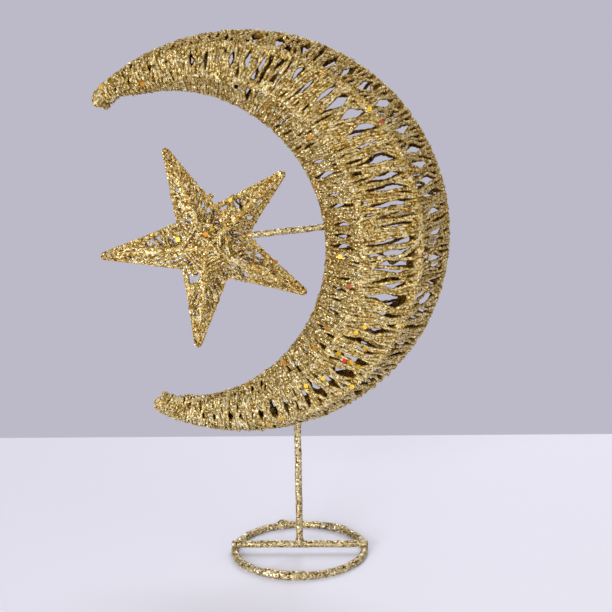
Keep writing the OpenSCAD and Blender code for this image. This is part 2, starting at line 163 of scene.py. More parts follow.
def ranged(tree, value, given, wanted):
    """A number that lies between two given ones, brought between two wanted ones."""
    ends = zip(("From Min", "From Max", "To Min", "To Max"), (*given, *wanted))
    return add(tree, "ShaderNodeMapRange", {"Value": value, **dict(ends)}).outputs["Result"]


def toned(tree, share, tones):
    """A ramp through the tones, each with its place along the ramp."""
    ramp = add(tree, "ShaderNodeValToRGB", {"Fac": share})
    stops = ramp.color_ramp.elements
    while len(stops) < len(tones):
        stops.new(1.0)
    for stop, (position, colour) in zip(stops, tones):
        stop.position = position
        stop.color = linear(*colour)
    return ramp


def bare_tree(owner):
    """The emptied nodes of a new material or of the world."""
    owner.use_nodes = True
    owner.node_tree.nodes.clear()
    return owner.node_tree


def glitter(
    name, tones, grain, metal, rough, tilt, patch, patch_size,
    glow=0.0, own=1.0, painted_pit_shade=0.0, painted_floor_light=0.0,
):
    """Glued glitter: each grain has its own tone, gloss and lean, in paler and darker patches."""
    material = bpy.data.materials.new(name)
    tree = bare_tree(material)
    place = add(tree, "ShaderNodeTexCoord").outputs["Object"]
    grains = add(tree, "ShaderNodeTexVoronoi", {"Vector": place, "Scale": 1 / (grain * MM)})
    channels = add(tree, "ShaderNodeSeparateColor", {"Color": grains.outputs["Color"]}).outputs
    patches = add(
        tree, "ShaderNodeTexNoise",
        {"Vector": place, "Scale": 1 / (patch_size * MM), "Detail": 2.0},
    )
    shift = ranged(tree, patches.outputs["Fac"], (0.25, 0.75), (-patch, patch))
    tone = math_node(tree, "MULTIPLY_ADD", channels["Red"], own, shift)
    # Painted shade: ambient occlusion darkens the tone in each pit and in the hollow inside the
    # crescent.
    if painted_pit_shade:
        opening = add(tree, "ShaderNodeAmbientOcclusion", {"Distance": PIT_SHADE_REACH * MM}, samples=6)
        tone = math_node(tree, "MULTIPLY_ADD", opening.outputs["AO"], painted_pit_shade, tone)
        tone = math_node(tree, "SUBTRACT", tone, painted_pit_shade * PIT_SHADE_MIDDLE)
    # Painted light: the tone grows paler towards the bottom, as if the pale floor lit it from
    # below.
    if painted_floor_light:
        height = add(tree, "ShaderNodeSeparateXYZ", {"Vector": place}).outputs["Z"]
        heights = (FLOOR_LIGHT_FROM * MM, FLOOR_LIGHT_TO * MM)
        tone = math_node(tree, "ADD", tone, ranged(tree, height, heights, (0.0, painted_floor_light)))
    lean = vector_node(tree, "SUBTRACT", grains.outputs["Color"], (0.5,) * 3)
    surface = add(tree, "ShaderNodeNewGeometry").outputs["Normal"]
    leaning = vector_node(tree, "MULTIPLY_ADD", lean, (2 * tilt,) * 3, surface)
    shader = add(
        tree, "ShaderNodeBsdfPrincipled",
        {
            "Base Color": toned(tree, tone, tones).outputs["Color"],
            "Metallic": metal,
            "Specular IOR Level": 0.0,
            "Subsurface Weight": glow,
            "Subsurface Radius": (1.0, 0.6, 0.25),
            "Subsurface Scale": GLOW_DEPTH * MM,
            "Roughness": ranged(tree, channels["Green"], (0.0, 1.0), rough),
            "Normal": vector_node(tree, "NORMALIZE", leaning),
        },
    )
    add(tree, "ShaderNodeOutputMaterial", {"Surface": shader.outputs["BSDF"]})
    return material


film = glitter(
    "gold_film", FILM_TONES,
    grain=0.8, metal=0.5, rough=(0.2, 0.4), tilt=0.32, patch=0.2, patch_size=3,
)


def new_tree(name, **sockets):
    """An empty geometry tree, whose inputs are named under the kind of value that they take."""
    tree = bpy.data.node_groups.new(name, "GeometryNodeTree")
    for way in ("INPUT", "OUTPUT"):
        tree.interface.new_socket(name="Geometry", in_out=way, socket_type="NodeSocketGeometry")
    for kind, names in sockets.items():
        socket_type = "NodeSocket" + kind.replace("Distance", "Float")
        for label in names.split(", "):
            socket = tree.interface.new_socket(name=label, in_out="INPUT", socket_type=socket_type)
            if kind == "Distance":
                socket.subtype = "DISTANCE"
    return tree, add(tree, "NodeGroupInput").outputs


def close_tree(tree, given, mesh, smooth=True):
    """The end that every tree has: smooth faces, real geometry and its material."""
    shaded = add(tree, "GeometryNodeSetShadeSmooth", {"Geometry": mesh, "Shade Smooth": smooth})
    real = add(tree, "GeometryNodeRealizeInstances", {"Geometry": shaded.outputs["Geometry"]})
    finished = add(
        tree, "GeometryNodeSetMaterial",
        {"Geometry": real.outputs["Geometry"], "Material": given["Material"]},
    )
    add(tree, "NodeGroupOutput", {"Geometry": finished.outputs["Geometry"]})
    return tree


def carried(tree, attribute, kind="FLOAT"):
    """A number or direction that the points carry."""
    node = add(tree, "GeometryNodeInputNamedAttribute", {"Name": attribute}, data_type=kind)
    return node.outputs["Attribute"]


def measured(tree, curve, name, measure):
    """A curve whose points carry how far along it they are, as a length or a share."""
    value = add(tree, "GeometryNodeSplineParameter").outputs[measure]
    return add(
        tree, "GeometryNodeStoreNamedAttribute", {"Geometry": curve, "Name": name, "Value": value},
        data_type="FLOAT", domain="POINT",
    ).outputs["Geometry"]


def even_path(tree, given):
    """The given edges as a curve with even steps."""
    path = add(tree, "GeometryNodeMeshToCurve", {"Mesh": given["Geometry"]}).outputs["Curve"]
    return add(
        tree, "GeometryNodeResampleCurve", {"Curve": path, "Length": given["Step"]}, mode="LENGTH",
    ).outputs["Curve"]


def round_profile(tree, given):
    radius = math_node(tree, "MULTIPLY", given["Thickness"], 0.5)
    return add(
        tree, "GeometryNodeCurvePrimitiveCircle", {"Resolution": given["Sides"], "Radius": radius},
    ).outputs["Curve"]


def tube(tree, path, profile, swell):
    return add(
        tree, "GeometryNodeCurveToMesh",
        {"Curve": path, "Profile Curve": profile, "Scale": swell, "Fill Caps": True},
    ).outputs["Mesh"]


def noise(tree, given, size, detail, roughness=0.5):
    """Noise through space, with lumps as large as one of the tree's inputs says."""
    return add(
        tree, "ShaderNodeTexNoise",
        {
            "Vector": add(tree, "GeometryNodeInputPosition").outputs["Position"],
            "W": given["Seed"], "Scale": math_node(tree, "DIVIDE", 1.0, given[size]),
            "Detail": detail, "Roughness": roughness,
        },
        noise_dimensions="4D",
    ).outputs


def about_zero(tree, share, size):
    """A share from 0 to 1 as a height as far below as above nought."""
    return math_node(tree, "MULTIPLY", math_node(tree, "SUBTRACT", share, 0.5), size)


def scaled(tree, vector, scale):
    node = add(tree, "ShaderNodeVectorMath", {0: vector, "Scale": scale}, operation="SCALE")
    return node.outputs["Vector"]


def outward(tree, height):
    """A shift by a height along each point's own normal."""
    return scaled(tree, add(tree, "GeometryNodeInputNormal").outputs["Normal"], height)


def moved(tree, geometry, offset):
    node = add(tree, "GeometryNodeSetPosition", {"Geometry": geometry, "Offset": offset})
    return node.outputs["Geometry"]


def film_tree():
    """A rod wrapped in film: a tube along a path, with the wrap's ridges and its crumples."""
    tree, given = new_tree(
        "wrapped_rod", Int="Sides", Float="Seed", Material="Material",
        Distance="Thickness, Step, Wrap Pitch, Ridge Height, Crumple, Crumple Size",
    )
    path = measured(tree, even_path(tree, given), "along", "Length")
    profile = measured(tree, round_profile(tree, given), "around", "Factor")
    rod = tube(tree, path, profile, carried(tree, "swell"))
    # The film's edge climbs as a helix: each step from its low to its high side is one ridge.
    wrap_count = math_node(tree, "DIVIDE", carried(tree, "along"), given["Wrap Pitch"])
    phase = math_node(tree, "FRACT", math_node(tree, "ADD", wrap_count, carried(tree, "around")))
    ridge = about_zero(tree, phase, given["Ridge Height"])
    crumples = noise(tree, given, "Crumple Size", 3.0, 0.65)["Fac"]
    height = math_node(tree, "ADD", ridge, about_zero(tree, crumples, given["Crumple"]))
    return close_tree(tree, given, moved(tree, rod, outward(tree, height)))


def path_mesh(name, paths, closed=False, **numbers):
    """Bare edges through lists of points in millimetres, with a number for each point."""
    points, edges = [], []
    for path in paths:
        first = len(points)
        points += [Vector(point) * MM for point in path]
        edges += [(i, i + 1) for i in range(first, len(points) - 1)]
        if closed:
            edges.append((len(points) - 1, first))
    mesh = bpy.data.meshes.new(name)
    mesh.from_pydata(points, edges, [])
    for attribute, values in numbers.items():
        mesh.attributes.new(attribute, "FLOAT", "POINT").data.foreach_set("value", values)
    return mesh


def grown(name, mesh, tree, **values):
    """The plain piece that a tree makes from a mesh, with the tree's lengths in millimetres."""
    piece = bpy.data.objects.new(name, mesh)
    scene.collection.objects.link(piece)
    grower = piece.modifiers.new(tree.name, "NODES")
    grower.node_group = tree
    for socket in tree.interface.items_tree:
        key = socket.name.lower().replace(" ", "_")
        if key in values:
            length = getattr(socket, "subtype", "NONE") == "DISTANCE"
            grower[socket.identifier] = values[key] * MM if length else values[key]
    bpy.context.view_layer.update()
    evaluated = piece.evaluated_get(bpy.context.evaluated_depsgraph_get())
    result = bpy.data.meshes.new_from_object(evaluated)
    piece.modifiers.clear()
    piece.data = result
    return piece


def wrap(name, paths, swell, closed=False, **sizes):
    """A rod wrapped along its paths, with the share of its thickness at each point."""
    return grown(name, path_mesh(name, paths, closed, swell=swell), wrapped_rod, **sizes)


def settle(piece, slot, *replaced):
    """Each piece rides on the one body and stands for its CAD nodes; the slot is not used."""
    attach(piece, "root")
    if replaced:
        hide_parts(*replaced)
    return piece


def ring_swell(turn):
    """The share by which laps and the bead make the ring thicker at a turn."""
    signed = (turn + 180) % 360 - 180
    lap = max(
        smooth_step(start, start + LAP_START, signed) - smooth_step(end - LAP_FADE, end, signed)
        for start, end in RING_LAPS
    )
    bead = math.exp(-(((signed - RING_BEAD_TURN) / RING_BEAD_SPREAD) ** 2))
    return 1 + RING_LAP_SHARE * lap + RING_BEAD_SHARE * bead


def ring_spot(turn):
    rise = RING_WIRE_D / 2 * (ring_swell(turn) - 1) * RING_SWELL_LIFT
    a = math.radians(turn)
    return RING_R * math.cos(a), RING_R * math.sin(a), RING_Z + rise


wrapped_rod = film_tree()
ring_turns = steps(0, 360, RING_STEPS)[:-1]
ring = wrap(
    "base_ring_wrap", [[ring_spot(turn) for turn in ring_turns]],
    [ring_swell(turn) for turn in ring_turns], closed=True,
    thickness=RING_WIRE_D * FILM_SHARE, step=0.45, sides=20, wrap_pitch=17, ridge_height=0.22,
    crumple=0.95, crumple_size=1.7, seed=1.0, material=film,
)
for vertex in ring.data.vertices:
    vertex.co.z = max(vertex.co.z, TABLE_CLEARANCE * MM)
settle(ring, "wrapped_rod", "base_ring")


# Crossbar: a straight rod, wrapped in the same film and welded across the top of the ring.
# The stem's weld bead sits on its middle.
CROSSBAR_D = 3.9
CROSSBAR_SINK = 0.85
CROSSBAR_Z = RING_Z + RING_WIRE_D / 2 + CROSSBAR_D / 2 - CROSSBAR_SINK
CROSSBAR_HALF_LENGTH = RING_R + RING_WIRE_D / 2
ROD_STEP = 2.0
BLUNT_MARKS = (0, 0.18, 0.6)
BLUNT_SWELL = (0.55, 0.85)


def rod_path(start, end):
    """Points along a straight rod, with the swell that rounds its two ends off."""
    start, end = Vector(start), Vector(end)
    length = (end - start).length
    count = max(round(length / ROD_STEP), 2)
    blunt = BLUNT_MARKS[-1]
    marks = [*BLUNT_MARKS, *[blunt + (length - 2 * blunt) * (i + 1) / count for i in range(count)]]
    marks += [length - BLUNT_MARKS[1], length]
    swell = [*BLUNT_SWELL, *[1.0] * (len(marks) - 4), *reversed(BLUNT_SWELL)]
    return [[start.lerp(end, mark / length) for mark in marks]], swell


def film_rod(node, paths, swell, **sizes):
    """A thin rod in its film, in place of its CAD node."""
    sizes.update(step=0.4, sides=18, crumple_size=1.5, material=film)
    settle(wrap(node + "_wrap", paths, swell, **sizes), "wrapped_rod", node)


film_rod(
    "base_crossbar",
    *rod_path((-CROSSBAR_HALF_LENGTH, 0, CROSSBAR_Z), (CROSSBAR_HALF_LENGTH, 0, CROSSBAR_Z)),
    thickness=CROSSBAR_D * FILM_SHARE, wrap_pitch=26, ridge_height=0.2, crumple=0.8, seed=2.0,
)


# Stem: an upright rod wrapped in film, with a small weld bead at its foot on the crossbar
# and another under the crescent's outer rim.
STEM_D = 3.8
STEM_HEAD_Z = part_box("stem")[1][2] / MM
STEM_SINK = 1.2
STEM_FOOT_Z = CROSSBAR_Z + CROSSBAR_D / 2 - STEM_SINK
STEM_STEPS = 60
# Each bead's share of the stem's thickness, its middle's way in from the end, and its spread.
FOOT_BEAD = (0.45, 1.0, 1.6)
HEAD_BEAD = (0.5, 0.6, 2.2)


def bead_swell(bead, way_in):
    share, middle, spread = bead
    return share * math.exp(-(((way_in - middle) / spread) ** 2))


stem_heights = steps(STEM_FOOT_Z, STEM_HEAD_Z, STEM_STEPS)
stem_swells = [
    1 + bead_swell(FOOT_BEAD, z - STEM_FOOT_Z) + bead_swell(HEAD_BEAD, STEM_HEAD_Z - z)
    for z in stem_heights
]
film_rod(
    "stem", [[(0, 0, z) for z in stem_heights]], stem_swells,
    thickness=STEM_D * FILM_SHARE, wrap_pitch=30, ridge_height=0.25, crumple=0.85, seed=3.0,
)


# Crescent frame: two rims in one plane, two rails on each side that lean out from them, and five
# ribs of thin wire that hold the six wires apart. All were dipped in glue and gold glitter.
WIRE_TONES = (
    (0.00, (80, 50, 6)),
    (0.20, (124, 88, 26)),
    (0.42, (164, 130, 66)),
    (0.64, (205, 176, 110)),
    (0.85, (238, 216, 154)),
    (1.00, (255, 246, 204)),
)
coated_wire = glitter(
    "gold_glitter_wire", WIRE_TONES,
    grain=0.8, metal=0.5, rough=(0.2, 0.5), tilt=0.7, patch=0.1, patch_size=9,
)


def coat(*names):
    """Puts glitter on the CAD nodes of wire, which show as they are."""
    for name in names:
        nodes[name].data.materials.clear()
        nodes[name].data.materials.append(coated_wire)


coat(
    "outer_rim", "inner_rim", "front_outer_rail", "front_inner_rail", "back_outer_rail",
    "back_inner_rail", "rib_lower_horn", "rib_lower", "rib_middle", "rib_upper", "rib_upper_horn",
)


# Crescent thread: one long thread, stiff with glue and glitter, wound round the six wires from
# horn to horn. Its turns bunch and cross, which leaves eye-shaped gaps between them.
CRESCENT_MIDDLE = Vector((-50.6, 0, 193.4))
CRESCENT_TURN = 8.9
OUTER_RIM_R = 115.0
INNER_RIM_R = 95.6
HALF_OFFSET = 24.0
CRESCENT_WIRE_R = 1.4
RAIL_MID_Y = 24.0
RAIL_END_TURN = 102.0
BUNDLE_STEP = 2.95
RAIL_TUCK = math.radians(20)
OUTER_RAIL_INSET = 16.4
INNER_RAIL_INSET = 19.8
THREAD_D = 2.0
THREAD_HOLD = CRESCENT_WIRE_R + THREAD_D / 2
MEET_TURN = 110.6
LAST_TURN = 117.2
EYE_MM = EYE / MM
# Past the rails' ends the thread lies on the two rims alone, thick with glue: from which turn
# wholly, how far out of their plane, how far out from the middle, and how far in from the rims.
RIMS_ALONE_TURN = MEET_TURN + 3
RIMS_ALONE_DEPTH, RIMS_ALONE_REACH, RIMS_ALONE_INSET = 1.2, 1.2, 0.8


def about(middle, reach, turn, depth=0.0):
    """A spot at a reach and a turn from a middle, in or behind its upright plane."""
    a = math.radians(turn)
    return middle + Vector((reach * math.cos(a), depth, reach * math.sin(a)))


def in_crescent(reach, depth, turn):
    return about(CRESCENT_MIDDLE, reach, turn + CRESCENT_TURN, depth)


def outer_reach(turn):
    a = math.radians(turn)
    return HALF_OFFSET * math.cos(a) + math.sqrt(OUTER_RIM_R**2 - (HALF_OFFSET * math.sin(a)) ** 2)


def inner_reach(turn):
    a = math.radians(turn)
    return math.sqrt(INNER_RIM_R**2 - (HALF_OFFSET * math.sin(a)) ** 2) - HALF_OFFSET * math.cos(a)


RAIL_END_Y = BUNDLE_STEP * math.cos(RAIL_TUCK)
# Each rail's reach at its ends, tucked in between the rims, and at its middle.
OUTER_RAIL = (
    outer_reach(RAIL_END_TURN) - BUNDLE_STEP * math.sin(RAIL_TUCK),
    outer_reach(0) - OUTER_RAIL_INSET,
)
INNER_RAIL = (
    inner_reach(RAIL_END_TURN) + BUNDLE_STEP * math.sin(RAIL_TUCK),
    inner_reach(0) + INNER_RAIL_INSET,
)


def rail_at(rail, turn):
    """Where a rail, a flat arc that leans out, crosses the section at a turn: reach and depth."""
    a = math.radians(turn)
    end_x = rail[0] * math.cos(math.radians(RAIL_END_TURN))
    end_z = rail[0] * math.sin(math.radians(RAIL_END_TURN))
    lean = math.atan2(RAIL_MID_Y - RAIL_END_Y, rail[1] - end_x)
    rise = math.hypot(rail[1] - end_x, RAIL_MID_Y - RAIL_END_Y)
    radius = (rise**2 + end_z**2) / (2 * rise)
    centre = rise - radius
    across = radius * math.cos(a)
    down = -radius * math.cos(lean) * math.sin(a)
    shift = (end_x + centre * math.cos(lean)) * math.sin(a)
    rail_turn = math.asin(shift / math.hypot(across, down)) - math.atan2(down, across)
    out = centre + radius * math.cos(rail_turn)
    return (
        math.hypot(end_x + out * math.cos(lean), radius * math.sin(rail_turn)),
        RAIL_END_Y + out * math.sin(lean),
    )


def six_wires(turn):
    """The six wires at a turn as (reach, depth), from the outer rim round the front and back."""
    size = abs(turn)
    outer = outer_reach(size)
    inner = inner_reach(size) if size < MEET_TURN else outer - BUNDLE_STEP
    if size <= RAIL_END_TURN:
        outer_rail, inner_rail = rail_at(OUTER_RAIL, size), rail_at(INNER_RAIL, size)
    else:
        late = smooth_step(RAIL_END_TURN, RIMS_ALONE_TURN, size)
        depth = RAIL_END_Y - (RAIL_END_Y - RIMS_ALONE_DEPTH) * late
        outer, inner = outer + RIMS_ALONE_REACH * late, inner + RIMS_ALONE_REACH * late
        outer_rail = outer - RIMS_ALONE_INSET, depth
        inner_rail = inner + RIMS_ALONE_INSET, depth
    return (
        (outer, 0), (outer_rail[0], -outer_rail[1]), (inner_rail[0], -inner_rail[1]),
        (inner, 0), (inner_rail[0], inner_rail[1]), (outer_rail[0], outer_rail[1]),
    )


# The loops along the crescent: how far apart in degrees, how they lean and how much they stray.
# A change along the crescent is given by its size and the turns between which it grows.
LOOP_STEP = 1.1
LOOPS_CROWD = (0.34, 62, 96)
LOOPS_STIFFEN = (0.55, 70, 100)
LEAN_SHARE, LEAN_END_TURN = 0.95, 72
DRIFT_SIZE, DRIFT_HOLD = 0.62, 2.2
END_SCATTER = 0.3
LAYERS = (-0.15, 0.35)
# The share of strands that stray across their neighbours and lace the gaps, and how far.
STRAY_SHARE = 0.12
STRAY_TURNS = (0.7, 1.9)
# Neighbouring strands bunch: how many at a time, how hard they pull together, and how much less
# they do away from the middle, above it and at the horns.
BUNCH_COUNTS = (2, 3, 4, 4, 5, 5)
BUNCH_PULLS = (0.3, 0.6, 0.85, 1.0, 1.1)
CALM_AWAY, CALM_ABOVE, CALM_HORNS = (0.3, 15, 45), (0.2, 5, 35), (0.5, 85, 104)
# The spans between the six wires, from the outer rim round the front: how hard wet strands pull
# each other together between the wires, and where along each front span the gaps are widest.
SPAN_PULLS = (1.0, 1.0, 0.6, 0.75, 1.25, 1.1)
SPAN_PEAKS = (0.5, 0.4, 0.5)
PEAK_SWING = 0.13
PEAK_LIMITS = (0.25, 0.75)
GAP_SHARPNESS = 4.2
SHORT_SPAN = 8
SPAN_SHARES = (0.14, 0.26, 0.38, 0.5, 0.62, 0.74, 0.86)
# Thread is piled up on the horns, more on the outer rim, and most in a lump by the lower tip.
HORN_PILE, OUTER_RIM_PILE, LOWER_TIP_PILE = (1.3, 74, 104), (0.6, 78, 110), (1.2, 100, 106)
LUMP_HEIGHT, LUMP_TURN, LUMP_SPREAD = 2.0, 109.5, 2.6


def grows(change, turn):
    size, first, last = change
    return size * smooth_step(first, last, turn)


def drift(generator, count, hold):
    """Smooth random numbers about zero, each of which holds for about some turns."""
    knots = [generator.gauss(0, 1) for _ in range(int(count / hold) + 3)]
    values = []
    for i in range(count):
        at = i / hold
        low = int(at)
        share = smooth_step(0, 1, at - low)
        values.append(knots[low] * (1 - share) + knots[low + 1] * share)
    return values


def thread_turns():
    """The turn at which each loop of thread is laid: close at the horns, open in the middle."""
    turns, turn = [], -LAST_TURN
    while turn < LAST_TURN:
        turns.append(turn)
        turn += LOOP_STEP - grows(LOOPS_CROWD, abs(turn))
    return turns


def bunches(generator, peak):
    """Splits the loops into bunches: each one's middle, its pull and where it is tightest."""
    bunch, first = [], 0
    while first < loop_count:
        last = min(first + generator.choice(BUNCH_COUNTS), loop_count)
        pull = generator.choice(BUNCH_PULLS)
        turn = loop_turns[first]
        pull *= 1 - grows(CALM_AWAY, abs(turn)) - grows(CALM_ABOVE, turn)
        tightest = peak + generator.uniform(-PEAK_SWING, PEAK_SWING)
        bunch += [((first + last - 1) / 2, pull, tightest)] * (last - first)
        first = last
    return bunch


def horn_pile(turn, k):
    """How much further out the thread lies where it is piled up on the horns."""
    pile = grows(HORN_PILE, abs(turn))
    if k == 0:
        pile += grows(OUTER_RIM_PILE, abs(turn))
    if turn < 0 and k == 3:
        lump = LUMP_HEIGHT * math.exp(-(((turn + LUMP_TURN) / LUMP_SPREAD) ** 2))
        pile += grows(LOWER_TIP_PILE, -turn) + lump
    return pile


dice = random.Random(11)
loop_turns = thread_turns()
loop_count = len(loop_turns)
wire_drift = [drift(dice, loop_count, DRIFT_HOLD) for _ in range(6)]


def wire_turn(loop, k):
    """The turn at which a loop crosses one of the six wires."""
    turn = loop_turns[loop]
    turn += (loop_turns[min(loop + 1, loop_count - 1)] - turn) * k / 6
    middle_reach = (outer_reach(abs(turn)) + inner_reach(abs(turn))) / 2
    lean = -turn * max(0.0, 1 - abs(turn) / LEAN_END_TURN) * LEAN_SHARE
    shear = math.tan(math.radians(lean)) / middle_reach
    looseness = 1 - grows(LOOPS_STIFFEN, abs(turn))
    turn += math.degrees(shear * (six_wires(turn)[k][0] - middle_reach))
    return turn + looseness * wire_drift[k][loop] * DRIFT_SIZE


wire_turns = [[wire_turn(loop, k) for k in range(6)] for loop in range(loop_count)]


def next_wire(loop, k):
    """Where a strand from wire k ends. After the sixth wire the next loop starts."""
    return (loop, k + 1) if k < 5 else (min(loop + 1, loop_count - 1), 0)


def span_turn(loop, k):
    """The turn of a strand's middle, between wire k and the next."""
    end_loop, end_wire = next_wire(loop, k)
    return (wire_turns[loop][k] + wire_turns[end_loop][end_wire]) / 2


def outward_of(run):
    """The way out of the section, square to a run from one wire to the next."""
    return Vector((-run.y, run.x)).normalized() if run.length > 1e-6 else Vector((1, 0))


def bunches_behind(k):
    """The front's bunches again for span k behind them, so that one can see through the gaps."""
    front, bunch = 5 - k, []
    for loop in range(loop_count):
        turn = span_turn(loop, k)
        a, b = Vector(six_wires(turn)[k]), Vector(six_wires(turn)[(k + 1) % 6])
        reach, depth = (a + b) / 2 + outward_of(b - a) * THREAD_HOLD
        sight = in_crescent(reach, depth, turn) - EYE_MM
        seen = EYE_MM + sight * ((-depth - EYE_MM.y) / (depth - EYE_MM.y))
        across, up = seen.x - CRESCENT_MIDDLE.x, seen.z - CRESCENT_MIDDLE.z
        front_turn = math.degrees(math.atan2(up, across)) - CRESCENT_TURN
        other = min(range(loop_count), key=lambda i: abs(span_turns[front][i] - front_turn))
        middle, pull, peak = span_bunches[front][other]
        inward = (math.hypot(across, up) - reach) / max((b - a).length, SHORT_SPAN)
        bunch.append((middle + loop - other, pull, clamp(1 - peak - inward, *PEAK_LIMITS)))
    return bunch


def lay_strand(loop, k):
    """How one strand lies: its two turns, the spots it runs between, its layer and its stray."""
    turns = [
        clamp(wire_turns[i][j] + dice.gauss(0, END_SCATTER), -LAST_TURN, LAST_TURN)
        for i, j in ((loop, k), next_wire(loop, k))
    ]
    spots = [Vector(six_wires(turns[0])[k]), Vector(six_wires(turns[1])[(k + 1) % 6])]
    stray = 0.0
    if dice.random() < STRAY_SHARE:
        stray = dice.choice((-1, 1)) * dice.uniform(*STRAY_TURNS)
    return turns, spots, dice.uniform(*LAYERS), stray


strands = [[lay_strand(loop, k) for k in range(6)] for loop in range(loop_count)]


def on_strand(loop, k, share, straying):
    """A spot on a strand, as a share of its way from wire k to the next."""
    turns, spots, layer, stray = strands[loop][k]
    middle, pull, peak = span_bunches[k][loop]
    if straying and stray:
        turns, pull = [turns[0] - stray, turns[1] + stray], 0.0
    low = clamp(int(middle), 0, loop_count - 2)
    target = wire_turns[low][k] + (wire_turns[low + 1][k] - wire_turns[low][k]) * (middle - low)
    target += (wire_turns[loop][(k + 1) % 6] - wire_turns[loop][k]) * 0.5
    turn = turns[0] + (turns[1] - turns[0]) * share
    belly = 0
    if 0 < share < 1:
        belly = math.sin(math.pi * share ** (math.log(0.5) / math.log(peak))) ** GAP_SHARPNESS
    turn += (target - turn) * SPAN_PULLS[k] * pull * belly * (1 - grows(CALM_HORNS, abs(turn)))
    hold = THREAD_HOLD + layer
    hold += horn_pile(turn, k) * (1 - share) + horn_pile(turn, (k + 1) % 6) * share
    bend = spots[0].lerp(spots[1], share) + outward_of(spots[1] - spots[0]) * hold
    return in_crescent(bend.x, bend.y, clamp(turn, -LAST_TURN, LAST_TURN))


span_turns = [[span_turn(loop, k) for loop in range(loop_count)] for k in range(3)]
span_bunches = [bunches(dice, peak) for peak in SPAN_PEAKS]
span_bunches += [bunches_behind(k) for k in (3, 4, 5)]


def crescent_path(first, last):
    """The thread's points from one loop to another: its bends round the wires, and its spans."""
    return [
        on_strand(loop, k, share, True)
        for loop in range(first, last) for k in range(6) for share in (0.0, *SPAN_SHARES, 1.0)
    ]


def waver(tree, given):
    """How far each point strays. Near ones stray alike, so thread and web stay together."""
    wave = vector_node(tree, "SUBTRACT", noise(tree, given, "Waver Size", 1.0)["Color"], (0.5,) * 3)
    return scaled(tree, wave, given["Waver"])


def thread_tree():
    """Thread stiff with glue: a tube along a path that wavers, with lumps of glitter on it."""
    tree, given = new_tree(
        "glittered_thread", Int="Sides", Float="Seed", Material="Material",
        Distance="Thickness, Step, Waver, Waver Size, Lumps, Lump Size",
    )
    path = moved(tree, even_path(tree, given), waver(tree, given))
    thread = tube(tree, path, round_profile(tree, given), 1.0)
    lumps = about_zero(tree, noise(tree, given, "Lump Size", 2.0, 0.7)["Fac"], given["Lumps"])
    return close_tree(tree, given, moved(tree, thread, outward(tree, lumps)))


glittered_thread = thread_tree()
THREAD_TONES = (
    (0.00, (124, 84, 14)),
    (0.15, (130, 98, 32)),
    (0.34, (156, 131, 70)),
    (0.57, (194, 171, 116)),
    (0.79, (226, 207, 159)),
    (0.93, (245, 231, 193)),
    (1.00, (253, 245, 222)),
)
THREAD_FINISH = {"metal": 0.35, "rough": (0.22, 0.55), "tilt": 0.75, "patch_size": 4, "glow": 0.3}
# The thread's glitter, with painted shade in each pit and painted light low down.
coated_thread = glitter(
    "gold_glitter_thread", THREAD_TONES,
    grain=1.0, patch=0.18, own=0.8, painted_pit_shade=0.65, painted_floor_light=0.1, **THREAD_FINISH,
)
THREAD_PARTS = (
    ("lower_horn", -LAST_TURN, -58), ("lower", -58, -18), ("middle", -18, 20), ("upper", 20, 60),
    ("upper_horn", 60, LAST_TURN + 1),
)
thread_pieces = []


def wound(node, piece):
    """A piece in place of a winding, kept in the list of those that the sequins fall on."""
    thread_pieces.append(settle(piece, "glitter_thread", node))


for part, low, high in THREAD_PARTS:
    name = "crescent_thread_" + part
    chosen = [i for i, turn in enumerate(loop_turns) if low <= turn < high]
    wound("crescent_winding", grown(
        name, path_mesh(name, [crescent_path(chosen[0], chosen[-1] + 1)]), glittered_thread,
        thickness=THREAD_D, step=1.1, sides=7, waver=1.0, waver_size=4, lumps=2.3, lump_size=1.5,
        seed=5.0, material=coated_thread,
    ))


# Webs: films of glue, crusted with glitter, that dried between strands which lie close. Where
# two strands part too far for a film to hold, the eye-shaped gap between them stays open.
WEB_STEPS = 16
WEB_REACHES = (2.8, 2.7, 2.8, 2.4, 2.1, 2.3)
WEB_SINK = 0.35
WEB_WELD = 0.2


def faced_mesh(name, corners, faces):
    mesh = bpy.data.meshes.new(name)
    mesh.from_pydata(corners, [], faces)
    return mesh


def web_mesh(name, spans):
    """Four-sided cells between neighbouring strands, wherever these are close enough."""
    corners, cells = [], []
    for k in spans:
        rows = [
            [on_strand(loop, k, share, False) for share in steps(0, 1, WEB_STEPS)]
            for loop in range(loop_count)
        ]
        first = len(corners)
        corners += [spot * MM for row in rows for spot in row]
        for loop in range(loop_count - 1):
            near = [(a - b).length < WEB_REACHES[k] for a, b in zip(rows[loop], rows[loop + 1])]
            for i in range(WEB_STEPS):
                if near[i] and near[i + 1]:
                    low = first + loop * (WEB_STEPS + 1) + i
                    high = low + WEB_STEPS + 1
                    cells.append((low, low + 1, high + 1, high))
    return faced_mesh(name, corners, cells)


